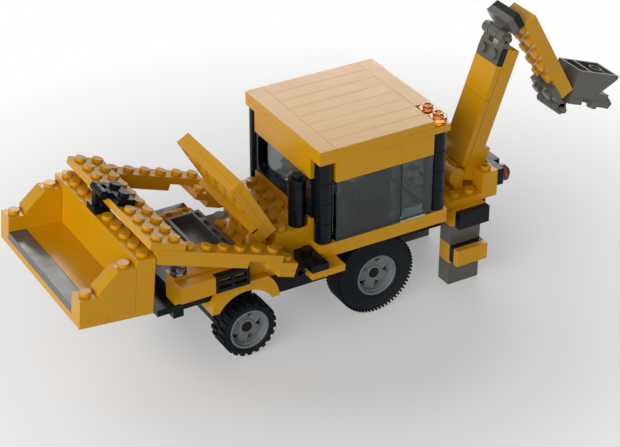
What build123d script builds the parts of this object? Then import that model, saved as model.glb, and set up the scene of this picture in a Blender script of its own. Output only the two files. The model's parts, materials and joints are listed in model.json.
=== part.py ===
from build123d import *
import math
import os

# Brick-built toy backhoe loader.
# Frame: +X towards the digger, +Y to the machine's right, +Z up, millimetres.
# Inside this script x is measured from the front face of the cab roof and z in the
# toy's plate levels; every shape is shifted on export, so that the origin ends up at
# the middle of the bounding box on the ground. brick() counts x and y in studs and
# z in plates; everything else is in millimetres.

# ---------------------------------------------------------------- brick module
PITCH = 8.0                 # stud spacing, and the width of one stud
PLATE = 3.2                 # height of a plate or tile
BRICK = 3 * PLATE           # height of a brick
STUD_R = 2.4                # stud radius
STUD_H = 1.7                # stud height
STUD_BORE_R = 1.6           # hole in a hollow stud
SKIN = 1.5                  # wall of a hollow piece
GAP = 0.3                   # clearance between pieces that move past each other
SEAM = 0.1                  # half the gap drawn between two tiles in a row
PIN_FIT = 0.05              # radial clearance of a pin in its hole
ROUND_R = 3.9               # round bricks, a little slimmer than a stud's pitch
PIN_R = 0.8                 # pins of the small hinges
TUBE_R, TUBE_BORE_R = 3.25, 2.4     # tubes under a plate, which grip the studs

X_MID = 26.77               # middle of the bounding box, from the cab front
GROUND = -PLATE / 2         # the ground, from the zero of the plate levels

# ---------------------------------------------------------------- main levels
BODY = 3                    # half width of the body, in studs
CAB = 4                     # half width of the cab's roof and sill, in studs
CAB_LEN = 8                 # length of the cab, in studs
ROOF_TOP = 28               # the levels below are in plates
SILL_BASE, SILL_TOP = 12, 14
FRAME_BASE, FRAME_TOP = 9, 12       # main chassis bar
TRAY_FLOOR, TRAY_TOP = 13.5, 15
DECK_TOP = 16               # deck in front of the cab
HOOD_TOP = 17               # the closed hood's base is the tray's top
REAR_DECK_TOP = 13
SIDE_MID = 40.0             # middle height of the tiles on the body's sides

# ---------------------------------------------------------------- wheels
FRONT_X, FRONT_R, FRONT_W = -31.4, 12.85, 12.0
REAR_X, REAR_R, REAR_W = 32.4, 19.0, 14.0
FRONT_OUT, REAR_OUT = 28.5, 27.2        # outer face of the tyres, from the centre
FRONT_WALL, REAR_WALL = 2.9, 8.5        # height of the tyres' side walls
HUB_R = 3.7
ARCH_GAP = 1.9              # wheel arch over the rear tyres
AXLE_R = 2.4
AXLE_WALL = 2.0             # chassis under and beside the axles
SPOKES = 5
GUARD_X = FRONT_X - 1.3     # front mudguards: middle, crown, foot, walls
GUARD_TOP = SIDE_MID - PITCH / 2 - 0.8      # just under the tiles on the side
GUARD_FOOT = GUARD_TOP - 11.4
GUARD_R, GUARD_CROWN_WALL, GUARD_FOOT_WALL = 14.6, 4.4, 3.6
GUARD_OUT = 27.6            # outer face, from the centre

# ---------------------------------------------------------------- linkages
ARM_PIVOT = (-12.5, 39.9)   # loader arm hinge (x, z)
ARM_DEG = 19.55             # arms as parked, raised at the front
ARM_HINGE = (76.0, -8.0)    # the same hinge in the arms' own frame
TILT_ON_ARM = (-3.2, 4.8)   # bucket hinge in the arms' frame
TILT_ON_BUCKET = (27.2, 35.0)
BUCKET_DEG = 5.06
HOOD_PIVOT = (-20.3, 47.4)
HOOD_DEG = 60.0             # hood as parked, open
HOOD_LUGS_Y = (-18.0, -1.0) # near faces of the two hinge lugs
BOOM_PIVOT = (79.8, 48.0)
BOOM_DEG = 19.7             # boom leans back from upright
BOOM_Y0, BOOM_Y1 = -16.0, 0.0
STICK_ON_BOOM = (0.4, 66.2)
STICK_DEG = 150.4           # stick's length axis, turned from straight up
CURL_ON_STICK = (-7.4, 53.4)
CURL_DEG = 20.0


# ---------------------------------------------------------------- helpers
def block(x0, x1, y0, y1, z0, z1):
    """Box from its two corners."""
    return Pos((x0 + x1) / 2, (y0 + y1) / 2, (z0 + z1) / 2) * Box(x1 - x0, y1 - y0, z1 - z0)


def brick(x0, x1, y0, y1, z0, z1):
    """Box in the toy's own grid: x and y in studs, z in plates."""
    return block(x0 * PITCH, x1 * PITCH, y0 * PITCH, y1 * PITCH, z0 * PLATE, z1 * PLATE)


def rod_x(y, z, x0, x1, r):
    """Cylinder along x."""
    return Pos((x0 + x1) / 2, y, z) * Rot(0, 90, 0) * Cylinder(r, x1 - x0)


def rod_y(x, z, y0, y1, r):
    """Cylinder along y."""
    return Pos(x, (y0 + y1) / 2, z) * Rot(90, 0, 0) * Cylinder(r, y1 - y0)


def rod_z(x, y, z0, z1, r):
    """Cylinder along z."""
    return Pos(x, y, (z0 + z1) / 2) * Cylinder(r, z1 - z0)


def stud(x, y, z):
    """Solid stud standing on height z."""
    return rod_z(x, y, z, z + STUD_H, STUD_R)


def hollow_stud(x, y, z):
    """Stud with a blind hole."""
    return stud(x, y, z) - rod_z(x, y, z, z + STUD_H, STUD_BORE_R)


def studs(xs, ys, z):
    """Studs on level z at every crossing of the rows xs and ys, all in the grid."""
    return [stud(x * PITCH, y * PITCH, z * PLATE) for x in xs for y in ys]


def row(first, last):
    """Stud middles from first to last, one stud apart."""
    return [first + k for k in range(int(last - first) + 1)]


def profile(points, y0, y1):
    """Prism along y of a closed outline of (x, z) points."""
    face = make_face(Polyline(*[(x, 0, z) for x, z in points], close=True))
    return Pos(0, y0, 0) * extrude(face, amount=y1 - y0, dir=(0, 1, 0))


def join(*shapes):
    """One solid from shapes that touch or overlap."""
    flat = []
    for shape in shapes:
        flat.extend(shape) if isinstance(shape, (list, tuple)) else flat.append(shape)
    return flat[0] + flat[1:]


def mirrored(*shapes):
    """The shapes and their copies on the machine's other side."""
    return list(shapes) + [mirror(shape, about=Plane.XZ) for shape in shapes]


def at(pivot, deg, own, *shapes):
    """Shapes of a tilted piece, placed with its point 'own' on the pivot."""
    where = Pos(pivot[0], 0, pivot[1]) * Rot(0, deg, 0) * Pos(-own[0], 0, -own[1])
    return [where * shape for shape in shapes]


def carried(pivot, deg, own, point):
    """Where the point of a tilted piece lies."""
    moved = Pos(pivot[0], 0, pivot[1]) * Rot(0, deg, 0) * Pos(point[0] - own[0], 0, point[1] - own[1])
    return moved.position.X, moved.position.Z


PARTS = {}


def keep(name, *shapes):
    """Adds shapes to a node."""
    for shape in shapes:
        PARTS.setdefault(name, []).extend(shape if isinstance(shape, (list, tuple)) else [shape])


TILT_PIVOT = carried(ARM_PIVOT, ARM_DEG, ARM_HINGE, TILT_ON_ARM)
STICK_PIVOT = carried(BOOM_PIVOT, BOOM_DEG, (0, 0), STICK_ON_BOOM)
CURL_PIVOT = carried(STICK_PIVOT, STICK_DEG, (0, 0), CURL_ON_STICK)


# ---------------------------------------------------------------- chassis
def build_chassis():
    """Frame with its axle bosses, and the plates in front."""
    frame = join(
        brick(-7.5, 12, -1.5, 1.5, FRAME_BASE - 2, FRAME_BASE),     # low bar
        brick(0, 6.5, -1.5, 1.5, FRAME_BASE, FRAME_TOP),            # under the cab
        brick(6.5, 12, -2, 2, FRAME_BASE, FRAME_TOP),               # under the rear deck
        brick(-8, 0, -2, 2, FRAME_BASE, FRAME_BASE + 1),            # under the hood
        brick(-8, -4, -2, 2, FRAME_BASE + 1, FRAME_TOP),
        brick(-2, 1, -BODY, BODY, FRAME_BASE - 2, FRAME_BASE + 1),  # between the wheels
        brick(0, 1, -BODY, BODY, FRAME_BASE + 1, FRAME_TOP))
    for x, radius, out, width in ((FRONT_X, FRONT_R, FRONT_OUT, FRONT_W), (REAR_X, REAR_R, REAR_OUT, REAR_W)):
        half = out - width - 1.2
        low = GROUND + radius - AXLE_R - AXLE_WALL
        frame = join(frame, block(x - PITCH, x + PITCH, -half, half, low, (FRAME_BASE - 2) * PLATE))
        frame = frame - rod_y(x, GROUND + radius, -half, half, AXLE_R + PIN_FIT)
    keep("chassis_frame", frame)
    keep("nose_plate", join(brick(-9, -8, -BODY, BODY, FRAME_BASE, FRAME_BASE + 1),
                            brick(-8.1, -7.5, -BODY, BODY, FRAME_BASE - 1, FRAME_BASE),
                            mirrored(brick(-8, -2, 2, BODY, FRAME_BASE, FRAME_BASE + 1))))
    wall, back = SKIN, 4.0
    tray = brick(-6, -4, -2, 2, FRAME_TOP, TRAY_TOP)
    inside = block(-6 * PITCH + wall, -4 * PITCH - back, -2 * PITCH + wall, 2 * PITCH - wall,
                   TRAY_FLOOR * PLATE, TRAY_TOP * PLATE)
    slots = [block(-4 * PITCH - back + 0.8, -4 * PITCH - 1.2, y - 2.4, y + 2.4, (TRAY_TOP - 0.5) * PLATE,
                   TRAY_TOP * PLATE) for y in (-12, -4, 4, 12)]
    for cut in [inside] + slots:
        tray = tray - cut
    keep("engine_tray", tray)


# ---------------------------------------------------------------- wheels
def build_wheels():
    """Axle pins, rims and tyres; the rims turn on the pins."""
    table = [  # name, x, radius, rim radius, outer face, width
        ("front", FRONT_X, FRONT_R, FRONT_R - FRONT_WALL, FRONT_OUT, FRONT_W),
        ("rear", REAR_X, REAR_R, REAR_R - REAR_WALL, REAR_OUT, REAR_W),
    ]
    for name, x, radius, rim_r, out, width in table:
        z = GROUND + radius
        keep("axles", rod_y(x, z, -out + 3.0, out - 3.0, AXLE_R))
        inner = out - width
        for side, sign in (("left", -1), ("right", 1)):
            y0, y1 = sorted((sign * inner, sign * out))
            tyre = rod_y(x, z, y0, y1, radius) - rod_y(x, z, y0, y1, rim_r)
            drum0, drum1 = sorted((sign * inner, sign * (out - 1.0)))
            rim = rod_y(x, z, drum0, drum1, rim_r) - rod_y(x, z, drum0, drum1, rim_r - 1.6)
            web0, web1 = sorted((sign * (out - 5.0), sign * (out - 3.5)))
            hub0, hub1 = sorted((sign * (inner + 0.5), sign * (out - 2.5)))
            hub = rod_y(x, z, hub0, hub1, HUB_R)
            arms = []
            for k in range(SPOKES):
                arm = block(x + 2, x + rim_r - 1.0, web0, web1, z - 1.3, z + 1.3)
                arms.append(Pos(x, 0, z) * Rot(0, 90 + k * 360 / SPOKES, 0) * Pos(-x, 0, -z) * arm)
            wheel = join(rim, hub, arms) - rod_y(x, z, hub0 - 1, hub1 + 1, AXLE_R + PIN_FIT)
            keep(f"{name}_{side}_tyre", tyre)
            keep(f"{name}_{side}_rim", wheel)


# ---------------------------------------------------------------- front body
def build_front():
    """Side bricks, grilles, lamps, mudguards and deck before the cab."""
    edge = BODY * PITCH                         # side face of the body
    low, high = SIDE_MID - PITCH / 2, SIDE_MID + PITCH / 2
    side = join(
        brick(-8, -4, -BODY, -2, 10, 14),
        block(-8 * PITCH, -4 * PITCH - 0.2, -edge - PLATE, -edge, low, high),
        block(-8 * PITCH, -6 * PITCH, -edge - 2 * PLATE, -edge - PLATE, low, high),
        [rod_y(x * PITCH, SIDE_MID, -edge - PLATE - STUD_H, -edge - PLATE, STUD_R) for x in (-5.5, -4.5)],
        [hollow_stud(x * PITCH, -2.5 * PITCH, 14 * PLATE) for x in (-5.5, -4.5)])
    keep("side_bricks", mirrored(side, brick(-1, 1, -5, -BODY, 11, 12)))
    x0, x1 = -6 * PITCH + SEAM, -4 * PITCH - 0.2
    y0, y1 = -edge - 2 * PLATE, -edge - PLATE
    grille = block(x0, x1, y0, y1, low, high) - block(x0 + 1.2, x1 - 1.2, y0 + 1.2, y1, low + 1.0, high - 1.0)
    for slot_x in (x0 + 1.5, x0 + 8.7):
        for slot_z in (SIDE_MID - 2.4, SIDE_MID + 0.8):
            grille = grille - block(slot_x, slot_x + 5.6, y0, y0 + 1.2, slot_z, slot_z + 1.6)
    keep("grille_tiles", mirrored(grille))
    lamp_z, lamp_r = 14 * PLATE, 3.6
    dome = (Pos(-60, -20, lamp_z + 1.2) * Sphere(lamp_r)) - block(-66, -54, -26, -14, 30, lamp_z + 1.2)
    keep("head_lamps", mirrored(join(rod_z(-60, -20, lamp_z, lamp_z + 1.2, lamp_r), dome)))

    half = math.sqrt(GUARD_R ** 2 - (GUARD_FOOT - GUARD_TOP + GUARD_CROWN_WALL + GUARD_R) ** 2)
    outer = rod_y(GUARD_X, GUARD_FOOT - 0.7, -GUARD_OUT, -2 * PITCH, half + GUARD_FOOT_WALL)
    inner = rod_y(GUARD_X, GUARD_TOP - GUARD_CROWN_WALL - GUARD_R, -GUARD_OUT, -2 * PITCH, GUARD_R)
    reach = half + GUARD_FOOT_WALL + 1
    band = block(GUARD_X - reach, GUARD_X + reach, -GUARD_OUT, -edge, GUARD_FOOT, GUARD_TOP)
    under = block(GUARD_X - reach, GUARD_X + reach, -edge, -2 * PITCH - GAP, GUARD_FOOT, FRAME_BASE * PLATE)
    keep("front_mudguards", mirrored((outer - inner) & (band + under)))

    keep("front_deck", join(
        brick(-4, 0, -BODY, BODY, 10, 11), brick(-2, 0, -BODY, BODY, 11, DECK_TOP),
        brick(-4, -1.8, -BODY, 1, 11, 14),
        studs((-1.5,), row(-2.5, 2.5), DECK_TOP), studs((-0.5,), row(-1.5, 2.5), DECK_TOP),
        studs((-3.5,), row(-2.5, 0.5), 14)))
    keep("corner_plate", join(brick(-4, -2, 1, BODY, 11, 12), studs((-3.5, -2.5), (1.5, 2.5), 12)))
    foot, top = DECK_TOP * PLATE, DECK_TOP * PLATE + 2 * BRICK + PLATE
    keep("exhaust_stack", join(rod_z(-4, -20, foot, top, ROUND_R), stud(-4, -20, top)))


# ---------------------------------------------------------------- hood
def build_hood():
    """Lifting hood of two layers with a deeper rear row, drawn closed, then turned open."""
    x0, x1, half = -55.7, -3 * PITCH, BODY * PITCH
    base, top = TRAY_TOP * PLATE, HOOD_TOP * PLATE
    recess = PLATE - 1.2                        # hollow underside
    hood = block(x0, x1, -half, half, base, top) - block(x0 + SKIN, x1 - PITCH, -half + SKIN, half - SKIN,
                                                         base, base + recess)
    tubes = [rod_z(x * PITCH, y * PITCH, base, base + recess + 0.1, TUBE_R)
             - rod_z(x * PITCH, y * PITCH, base, base + recess, TUBE_BORE_R)
             for x in (-6, -5) for y in row(-2, 2)]
    row_x0, row_z0 = x1 - PITCH + 0.4, base - PLATE + GAP       # rear row hangs over the deck's studs
    rear_row = block(row_x0, x1, -half, half, row_z0, base + 0.1)
    rear_row = rear_row - block(row_x0 + 1.2, x1, -half + 1.1, half - 1.1, row_z0, base)
    px, pz = HOOD_PIVOT
    lugs = []
    for y0 in HOOD_LUGS_Y:
        lug = join(block(x1 - 1.0, px, y0, y0 + 6, base, pz + 3.0), rod_y(px, pz, y0, y0 + 6, 1.5),
                   block(px - 1.5, px, y0, y0 + 6, pz, pz + 3.0))
        lugs.append(lug - rod_y(px, pz, y0, y0 + 6, PIN_R + PIN_FIT))
    keep("hood", at(HOOD_PIVOT, HOOD_DEG, HOOD_PIVOT, join(hood, tubes, rear_row, lugs)))
    for y0 in HOOD_LUGS_Y:
        ears = [join(rod_y(px, pz, ya, yb, 1.5), block(px - 1.5, px + 1.5, ya, yb, 14 * PLATE, pz))
                for ya, yb in ((y0 - 2.3, y0 - GAP), (y0 + 6 + GAP, y0 + 8.3))]
        keep("hood_hinge_pins", join(ears, rod_y(px, pz, y0 - 2.3, y0 + 8.3, PIN_R)))


# ---------------------------------------------------------------- cab
def build_cab():
    """Hollow cab: sill, floor, walls, posts, clear side panels, windows and roof."""
    floor = brick(1, 7, -BODY, BODY, SILL_BASE + 1, SILL_TOP)
    base = join(brick(0, CAB_LEN, -CAB, CAB, SILL_BASE, SILL_TOP) - floor,
                brick(0, 1, -BODY, BODY, SILL_TOP, SILL_TOP + 3))
    for ya, yb in ((-CAB * PITCH - 1, -REAR_OUT + REAR_W), (REAR_OUT - REAR_W, CAB * PITCH + 1)):
        base = base - rod_y(REAR_X, GROUND + REAR_R, ya, yb, REAR_R + ARCH_GAP)
    keep("cab_base", base)
    keep("cab_floor", floor)
    corners = [(x * PITCH, y * PITCH) for x in (0.5, 7.5) for y in (-3.5, 3.5)]
    sill = SILL_TOP * PLATE
    keep("cab_posts", [rod_z(x, y, sill, sill + 4 * BRICK, ROUND_R) for x, y in corners])
    eaves = ROOF_TOP - 5                        # lower edge of the bricks under the roof
    drop = brick(0, CAB_LEN, -CAB, CAB, eaves, ROOF_TOP - 2) - brick(1, 7, -BODY, BODY, eaves, ROOF_TOP - 2)
    for x, y in corners:
        half = PITCH / 2 + SEAM
        drop = drop - block(x - half, x + half, y - half, y + half, eaves * PLATE, (ROOF_TOP - 2) * PLATE)
    keep("cab_roof", join(brick(0, CAB_LEN, -CAB, CAB, ROOF_TOP - 2, ROOF_TOP - 1), drop))
    under, top = (ROOF_TOP - 1) * PLATE, ROOF_TOP * PLATE
    edge, front, back, rear = CAB * PITCH, PITCH, 7 * PITCH, CAB_LEN * PITCH
    keep("roof_tiles", block(0, front - SEAM, -edge, edge, under, top),
         [block(front + SEAM, back - SEAM, y * PITCH + SEAM, (y + 1) * PITCH - SEAM, under, top)
          for y in range(-CAB, CAB)],
         block(back + SEAM, rear, -2 * PITCH + SEAM, edge, under, top))
    keep("beacons", [join(rod_z(7.5 * PITCH, y, under, top, ROUND_R), hollow_stud(7.5 * PITCH, y, top))
                     for y in (-3.5 * PITCH, -2.5 * PITCH)])

    head = eaves * PLATE
    for xa, xb in ((1, 5), (5, 7)):             # clear panels: foot, outer wall, two end ribs
        xa, xb = xa * PITCH + SEAM, xb * PITCH - SEAM
        ya, yb = -edge + 0.2, -BODY * PITCH - SEAM
        panel = join(block(xa, xb, ya, yb, sill, sill + 1.2), block(xa, xb, ya, ya + 1.2, sill, head),
                     block(xa, xb, ya, yb, head - 1.2, head),
                     [block(x, x + 1.0, ya, ya + 3.4, sill, head) for x in (xa, xb - 1.0)])
        keep("cab_panels", mirrored(panel))
    for name, xa, low in (("windscreen", 1.0, SILL_TOP + 3), ("rear_window", 57.0, SILL_TOP)):
        low, bar = low * PLATE, 1.2
        frame = block(xa, xa + 6, -BODY * PITCH, BODY * PITCH, low, head)
        hole = block(xa, xa + 6, -BODY * PITCH + bar, BODY * PITCH - bar, low + bar, head - bar)
        hole = fillet(hole.edges().filter_by(Axis.X), 2.5)
        keep("window_frames", frame - hole)
        pane = block(xa + 2.4, xa + 3.6, -BODY * PITCH + bar, BODY * PITCH - bar, low + bar, head - bar)
        keep("cab_glass", fillet(pane.edges().filter_by(Axis.X), 2.5))

    cushion = sill + 2 * PLATE
    keep("seat", join(block(34, 50, -8, 8, sill, cushion), block(44, 50, -8, 8, cushion, cushion + 12.4)))
    ring = Pos(23, 0, sill + 14.3) * Rot(0, 25, 0)
    keep("steering_column", join(block(16, 24, -8, 8, sill, sill + 2 * PLATE),
                                 ring * Pos(0, 0, -5.5) * Cylinder(1.3, 11),
                                 ring * (Cylinder(6.2, 1.6) - Cylinder(4.8, 1.6)),
                                 ring * (Box(1.6, 11, 1.2) + Cylinder(1.6, 1.4))))


# ---------------------------------------------------------------- loader
def build_loader():
    """Arms, their hinge halves on the body, and the bucket."""
    px, pz = ARM_PIVOT
    r = 2.0                                     # knuckles of the small hinges
    seat = 12 * PLATE
    body_side = join(brick(-1, 0, -5, -BODY, 12, 13), stud(-4, -28, 13 * PLATE),
                     block(px, -7.9, -34.6, -29.4, pz - 1.5, seat + PLATE - GAP),
                     rod_y(px, pz, -34.6, -29.4, r))
    body_side = body_side - rod_y(px, pz, -41, -23, PIN_R + PIN_FIT)
    keep("arm_hinge_plates", mirrored(body_side))

    hx, hz = ARM_HINGE
    arm = join(
        profile([(PLATE, 0), (64, 0), (64, -PLATE), (48, -PLATE), (48, -2 * PLATE), (5.4, -2 * PLATE)],
                -40, -32),
        block(57.6, 72, -40, -24.25, -2 * PLATE, -PLATE),
        block(64, 72, -40, -24.25, -3 * PLATE, -2 * PLATE),
        [stud(x, -36, 0) for x in range(20, 61, 8)],
        [stud(x, y, -PLATE) for x, y in ((68, -36), (68, -28), (60, -28))])
    cross = block(0, 16, -40, 40, 0, PLATE)
    tops = [stud(x, y * PITCH, PLATE) for x in (4, 12) for y in row(-4.5, 4.5) if (x, abs(y)) != (4, 0.5)]
    keep("loader_arms", at(ARM_PIVOT, ARM_DEG, ARM_HINGE, join(cross, mirrored(arm), tops)))
    fingers = ((-39, -34.9), (-29.1, -25))
    knuckles = join([block(72.1, hx, ya, yb, -9.5, -6.5) for ya, yb in fingers],
                    [rod_y(hx, hz, ya, yb, r) for ya, yb in fingers],
                    block(72.1, 73.4, -39, -25, -9.5, -6.5), rod_y(hx, hz, -39, -25, PIN_R))
    keep("arm_hinge_ends", at(ARM_PIVOT, ARM_DEG, ARM_HINGE, *mirrored(knuckles)))
    tx, tz = TILT_ON_ARM
    fingers = ((-2.0, 2.1), (5.9, 8.0))
    hinge = join(block(0, 8, -8, 8, PLATE, 2 * PLATE), [stud(4, y, 2 * PLATE) for y in (-4, 4)],
                 [block(tx, 0.1, ya, yb, PLATE + 0.4, 2 * PLATE - 0.1) for ya, yb in fingers],
                 [rod_y(tx, tz, ya, yb, r) for ya, yb in fingers], rod_y(tx, tz, -2.0, 8.0, PIN_R))
    keep("bucket_hinge_plate", at(ARM_PIVOT, ARM_DEG, ARM_HINGE, hinge))

    bx, bz = TILT_ON_BUCKET
    low, mid, high = PLATE, PLATE + BRICK, PLATE + 2 * BRICK
    side = join(block(0, 24, -40, -32, low, mid),
                profile([(8, mid), (24, mid), (24, high), (16, high), (8, mid + 1.6)], -40, -32),
                stud(4, -36, mid), stud(20, -36, high))
    body = join(block(0, 32, -40, 40, 0, low), block(8, 24, -32, 32, low, 2 * PLATE), mirrored(side),
                block(24, 32, -40, 40, low, high + PLATE),
                [stud(28, y * PITCH, high + PLATE) for y in row(-4.5, 4.5) if y != 0.5])
    lip = block(0, 8 - SEAM, -32 + SEAM, 32 - SEAM, low, 2 * PLATE)
    rim = high + PLATE
    stand = join(block(24, 31, 0.2, 7.8, rim, rim + PLATE),
                 block(bx - r, bx + 0.2, 2.4, 5.6, rim + PLATE - 0.1, bz),
                 rod_y(bx, bz, 2.4, 5.6, r)) - rod_y(bx, bz, 0, 8, PIN_R + PIN_FIT)
    for name, shape in (("bucket_body", body), ("bucket_lip", lip), ("bucket_hinge_post", stand)):
        keep(name, at(TILT_PIVOT, BUCKET_DEG, TILT_ON_BUCKET, shape))


# ---------------------------------------------------------------- rear body
def build_rear():
    """Deck behind the cab, its end bricks, tail and stabiliser legs."""
    deck = REAR_DECK_TOP
    keep("rear_deck", join(brick(8, 12, -BODY, BODY, deck - 1, deck), studs((8.5,), row(-2.5, 2.5), deck),
                           studs((9.5, 10.5), (-2.5, 0.5, 1.5, 2.5), deck), studs((9.5,), (-1.5,), deck),
                           studs((11.5,), (0.5, 1.5), deck)))
    keep("end_bricks", mirrored(join(brick(11, 12, -BODY, -2, deck, DECK_TOP),
                                     hollow_stud(11.5 * PITCH, -2.5 * PITCH, DECK_TOP * PLATE))))
    end, low, high = 12 * PITCH, 13.5 * PLATE, DECK_TOP * PLATE
    keep("tail_plate", block(end, end + PLATE, -24, 24, low, high))
    keep("tail_tile", block(end + PLATE, end + 2 * PLATE, -16, 16, low, high))
    keep("tail_lamps", mirrored(join(rod_x(-20, 46.4, end + PLATE, end + 2 * PLATE, ROUND_R),
                                     rod_x(-20, 46.4, end + 2 * PLATE, end + 2 * PLATE + 1.5, STUD_R))))
    edge = BODY * PITCH
    legs = {  # bricks under the deck and the tiles on their sides: (plies out from the body, z0, z1)
        "leg_yellow": ((0, 28.8, 38.4), (1, 30.4, 38.4), (0, 9.6, 19.2), (2, 11.2, 19.2)),
        "leg_grey": ((0, 19.2, 28.8), (0, GROUND, 9.6)),
        "leg_black": ((2, 30.4, 38.4), (1, 11.2, 19.2)),
    }
    for name, boxes in legs.items():
        for ply, z0, z1 in boxes:
            outer = edge + ply * PLATE
            inner = outer - PLATE if ply else 2 * PITCH
            keep(name, mirrored(block(9 * PITCH, 11 * PITCH, -outer, -inner, z0, z1)))


# ---------------------------------------------------------------- digger
def build_digger():
    """Boom base, boom, stick and digging bucket."""
    y0, y1 = BOOM_Y0, BOOM_Y1
    ym = (y0 + y1) / 2
    px, pz = BOOM_PIVOT
    deck = REAR_DECK_TOP * PLATE
    ears = ((y0, y0 + 3.5), (y1 - 3.5, y1))
    base = join([block(px - 1.2, px + 3, a, b, deck, pz) for a, b in ears],
                [rod_y(px, pz, a, b, 4.0) for a, b in ears],
                block(px - 1.2, px + 3, y0, y1, deck, deck + 1.6), rod_y(px, pz, y0, y1, 1.6))
    keep("boom_base", base)
    beam = block(PLATE, 3 * PLATE, y0, y1, -1.0, 61.2)
    foot = join(block(-1, PLATE + 0.1, y0 + 3.8, y1 - 3.8, -2.5, 4.8), rod_y(0, 0, y0 + 3.8, y1 - 3.8, 3.8),
                block(3 * PLATE, 4 * PLATE, y0, y1, 2.0, 15.2))
    foot = foot - rod_y(0, 0, y0, y1, 1.6 + PIN_FIT)
    beam = join(beam, foot) - (rod_y(0, 0, y0, y0 + 3.8, 4.3) + rod_y(0, 0, y1 - 3.8, y1, 4.3))
    cover_low = profile([(PLATE, 5.2), (PLATE, 37.1), (0, 37.1), (0, 14), (0.3, 9.5), (1.2, 5.2)], y0, y1)
    cover_top = block(0, PLATE, y0, y1, 37.3, 53.2)
    keep("boom", at(BOOM_PIVOT, BOOM_DEG, (0, 0), beam))
    keep("boom_tiles", at(BOOM_PIVOT, BOOM_DEG, (0, 0), cover_low, cover_top))
    sx, sz = STICK_ON_BOOM
    r, pin = 2.7, 1.3                           # knuckles and pins of the digger's hinges
    fingers = ((ym - 7.6, ym - 3.3), (ym + 3.3, ym + 7.6))
    hinge = join(block(0, PLATE, y0, y1, 53.2, 61.2), [rod_y(sx, sz, a, b, r) for a, b in fingers],
                 [block(0.1, PLATE - 0.1, a, b, 61.1, sz) for a, b in fingers],
                 rod_y(sx, sz, ym - 10, ym + 7.6, pin),
                 [rod_x(y, 57.2, -STUD_H, 0.1, STUD_R) for y in (ym - 4, ym + 4)])
    keep("boom_hinge_plate", at(BOOM_PIVOT, BOOM_DEG, (0, 0), hinge))

    # Stick: its own z runs from the hinge to the bucket, its own +x is the stud side.
    face = -9.9
    stick = join(block(face - 2 * PLATE, face, y0, y1, 0.6, 48.6),
                 [rod_x(y, z, face, face + STUD_H, STUD_R) for y in (ym - 4, ym + 4)
                  for z in (4.6, 12.6, 20.6, 28.6, 36.6) if not (y > ym and z < 5)])
    link = join(block(face, face + PLATE, y0, y1, -6.7, 0.6), block(face, face + PLATE, ym, y1, 0.6, 8.6))
    upper = join(block(face + PLATE, face + 2 * PLATE, y0, y1, -6.7, 1.3),
                 block(face + 2 * PLATE - 0.1, 0, ym - 3, ym + 3, -2.4, 2.4),
                 rod_y(0, 0, ym - 3, ym + 3, r)) - rod_y(0, 0, y0, y1, pin + PIN_FIT)
    cx, cz = CURL_ON_STICK
    lower = join(block(face, face + PLATE, y0, y1, 40.6, 48.6),
                 [rod_x(y, 44.6, face + PLATE, face + PLATE + STUD_H, STUD_R) for y in (ym - 4, ym + 4)],
                 [block(face + 0.1, face + PLATE - 0.1, a, b, 48.5, cz) for a, b in fingers],
                 [rod_y(cx, cz, a, b, r) for a, b in fingers], rod_y(cx, cz, ym - 10, ym + 7.6, pin))
    for name, shape in (("stick", stick), ("stick_link_plate", link), ("stick_hinges", upper),
                        ("stick_hinges", lower)):
        keep(name, at(STICK_PIVOT, STICK_DEG, (0, 0), shape))

    # Bucket: its own x runs from the back towards the teeth, z = 0 is the open rim.
    own = (-2.4, -18.9)
    wall, low = 1.5, -BRICK
    shell = profile([(0, 0), (24, 0), (24, -1.8), (16.2, low), (0, low)], y0, y1)
    shell = shell - block(wall, 7.2, y0 + wall, y1 - wall, low + 1.6, 0)
    shell = shell - profile([(8.8, 0.1), (22.5, 0.1), (22.5, -1.0), (15.6, low + 1.6), (8.8, low + 1.6)],
                            y0 + wall, y1 - wall)
    tube = (rod_z(16, ym, low + 1.8, 0, TUBE_R) - rod_z(16, ym, low, 1, TUBE_BORE_R)) - profile(
        [(15.6, low + 1.6), (22.5, -1.0), (30, -1.0), (30, -12), (10, -12), (10, low + 1.6)], y0, y1)
    plate = low - PLATE
    bucket = join(shell, block(0, 14.2, y0, y1, plate, low), tube,
                  rod_z(4, ym - 4, plate - 1.2, plate, STUD_R))
    mate = join(block(0.1, 8, y0, y1, plate - PLATE, plate) - rod_z(4, ym - 4, plate - PLATE, plate, STUD_R),
                block(own[0], 4, ym - 3, ym + 3, -18.5, plate - PLATE + 0.1),
                rod_y(own[0], own[1], ym - 3, ym + 3, r))
    mate = mate - rod_y(own[0], own[1], y0, y1, pin + PIN_FIT)
    claw = [(22.3, plate), (23.4, plate + 1.6), (26.2, plate - 0.8), (24.6, plate - PLATE - 0.4),
            (22.3, plate - PLATE)]
    teeth = join(block(14.3, 22.4, y0, y1, plate - PLATE, low),
                 [profile(claw, y, y + 3.2) for y in (y0, ym - 1.6, y1 - 3.2)],
                 [rod_z(18.4, y, plate - PLATE - STUD_H, plate - PLATE + 0.1, STUD_R)
                  for y in (ym - 4, ym + 4)])
    for name, shape in (("digger_bucket", bucket), ("digger_hinge_plate", mate), ("digger_teeth", teeth)):
        keep(name, at(CURL_PIVOT, CURL_DEG, own, shape))


build_chassis()
build_wheels()
build_front()
build_hood()
build_cab()
build_loader()
build_rear()
build_digger()

os.makedirs("parts", exist_ok=True)
for name, shapes in PARTS.items():
    solids = [Pos(-X_MID, 0, -GROUND) * solid for shape in shapes for solid in shape.solids()]
    export_step(solids[0] if len(solids) == 1 else Compound(solids), f"parts/{name}.step")
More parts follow.
